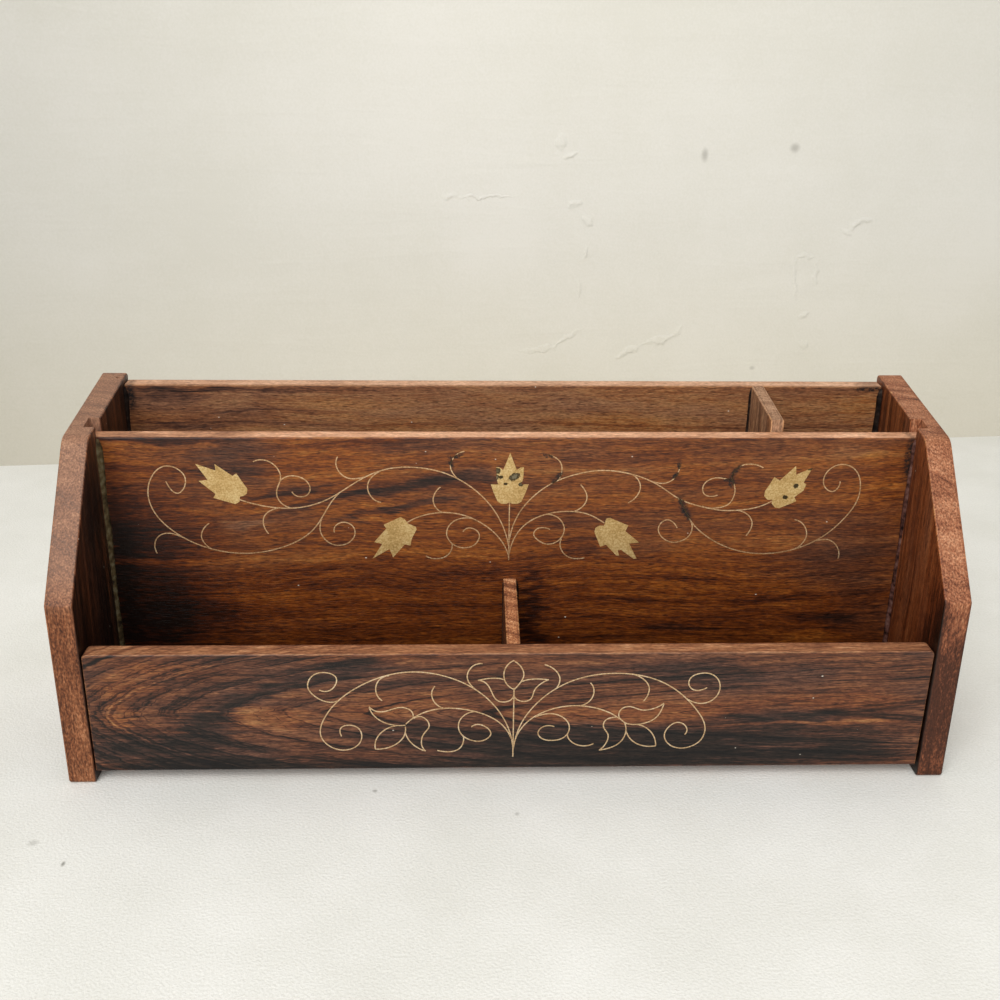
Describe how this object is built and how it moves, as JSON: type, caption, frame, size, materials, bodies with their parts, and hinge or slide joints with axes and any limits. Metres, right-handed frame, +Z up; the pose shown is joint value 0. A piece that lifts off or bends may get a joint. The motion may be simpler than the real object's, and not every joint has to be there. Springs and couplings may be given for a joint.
{
  "type": "desk letter holder",
  "caption": "Open wooden desk letter holder with stepped compartments between shaped sides, dividers, and a vine inlaid in brass on two boards.",
  "frame": {"origin": "on the table, under the middle of the holder's width and depth", "axes": "+X to the right along the boards, +Y from the low front board to the tall back board, +Z up"},
  "size_m": [0.305, 0.0906, 0.1214],
  "materials": {
    "side_wood": "thin satin varnish",
    "front_wood": "satin varnish",
    "middle_wood": "satin varnish",
    "back_wood": "thin worn varnish",
    "bottom_wood": "thin varnish",
    "divider_wood": "thin satin varnish",
    "front_brass_wire": "sanded flush, under varnish",
    "middle_brass_wire": "sanded flush, under varnish",
    "brass_leaf": "sanded flush, matte",
    "steel_brad": "dull"
  },
  "bodies": {
    "root": {"left_side": "side_wood", "right_side": "side_wood", "front_panel": "front_wood", "middle_panel": "middle_wood", "back_panel": "back_wood", "bottom_board": "bottom_wood", "front_divider": "divider_wood", "rear_divider": "divider_wood", "front_stem_wire": "front_brass_wire", "front_arch_wire_left": "front_brass_wire", "front_arch_wire_right": "front_brass_wire", "front_curl_wire_left": "front_brass_wire", "front_curl_wire_right": "front_brass_wire", "front_branch_wire_left": "front_brass_wire", "front_branch_wire_right": "front_brass_wire", "front_scroll_wire_left": "front_brass_wire", "front_scroll_wire_right": "front_brass_wire", "front_tendril_wires_left": "front_brass_wire", "front_tendril_wires_right": "front_brass_wire", "front_flower_wires_left": "front_brass_wire", "front_flower_wires_right": "front_brass_wire", "front_bud_wires_left": "front_brass_wire", "front_bud_wires_right": "front_brass_wire", "middle_stem_wire": "middle_brass_wire", "middle_vine_wire_left": "middle_brass_wire", "middle_vine_wire_right": "middle_brass_wire", "middle_sweep_wire_left": "middle_brass_wire", "middle_sweep_wire_right": "middle_brass_wire", "middle_branch_wire_left": "middle_brass_wire", "middle_branch_wire_right": "middle_brass_wire", "middle_hook_wire_left": "middle_brass_wire", "middle_hook_wire_right": "middle_brass_wire", "middle_scroll_wires_left": "middle_brass_wire", "middle_scroll_wires_right": "middle_brass_wire", "middle_tendril_wires_left": "middle_brass_wire", "middle_tendril_wires_right": "middle_brass_wire", "centre_leaf": "brass_leaf", "upper_leaf_left": "brass_leaf", "upper_leaf_right": "brass_leaf", "lower_leaf_left": "brass_leaf", "lower_leaf_right": "brass_leaf", "left_side_brads": "steel_brad", "right_side_brads": "steel_brad"}
  },
  "joints": []
}
